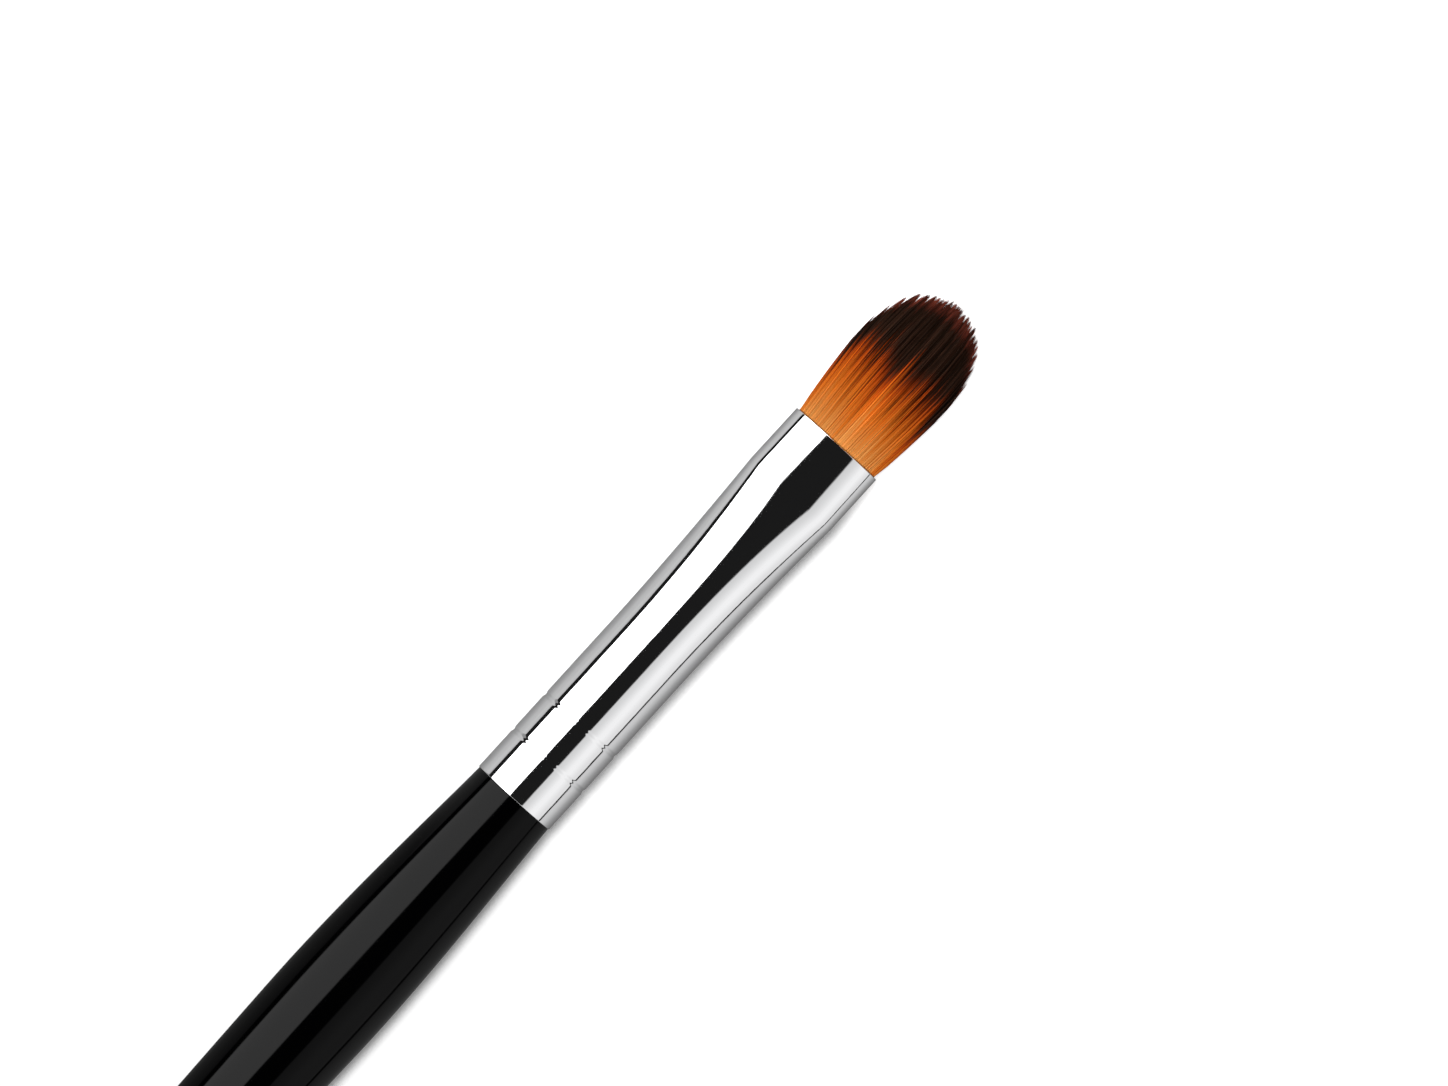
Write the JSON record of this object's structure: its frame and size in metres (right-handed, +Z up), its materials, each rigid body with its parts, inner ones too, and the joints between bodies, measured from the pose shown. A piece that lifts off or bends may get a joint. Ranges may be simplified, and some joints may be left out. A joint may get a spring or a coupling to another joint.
{
  "type": "eyeshadow brush",
  "caption": "Flat oval eyeshadow brush: a tapered lacquered wooden handle, a crimped metal ferrule pressed flat at its mouth, and a domed two-tone tuft that lays and blends powder.",
  "frame": {"origin": "the middle of the brush's length, on the surface that the belly of its handle rests on", "axes": "+X runs along the brush from its tail to its tuft, and +Z points up from the flat face of the tuft"},
  "size_m": [0.1662, 0.0088, 0.0085],
  "materials": {
    "handle_lacquer": "gloss",
    "ferrule_plating": "polished",
    "filament": "satin",
    "root_resin": "gloss",
    "thread": "matte",
    "adhesive": "satin"
  },
  "bodies": {
    "root": {"handle": "handle_lacquer", "ferrule": "ferrule_plating", "bristle_tuft": "filament", "root_plug": "root_resin", "binding_thread": "thread", "tenon_glue": "adhesive"}
  },
  "joints": []
}
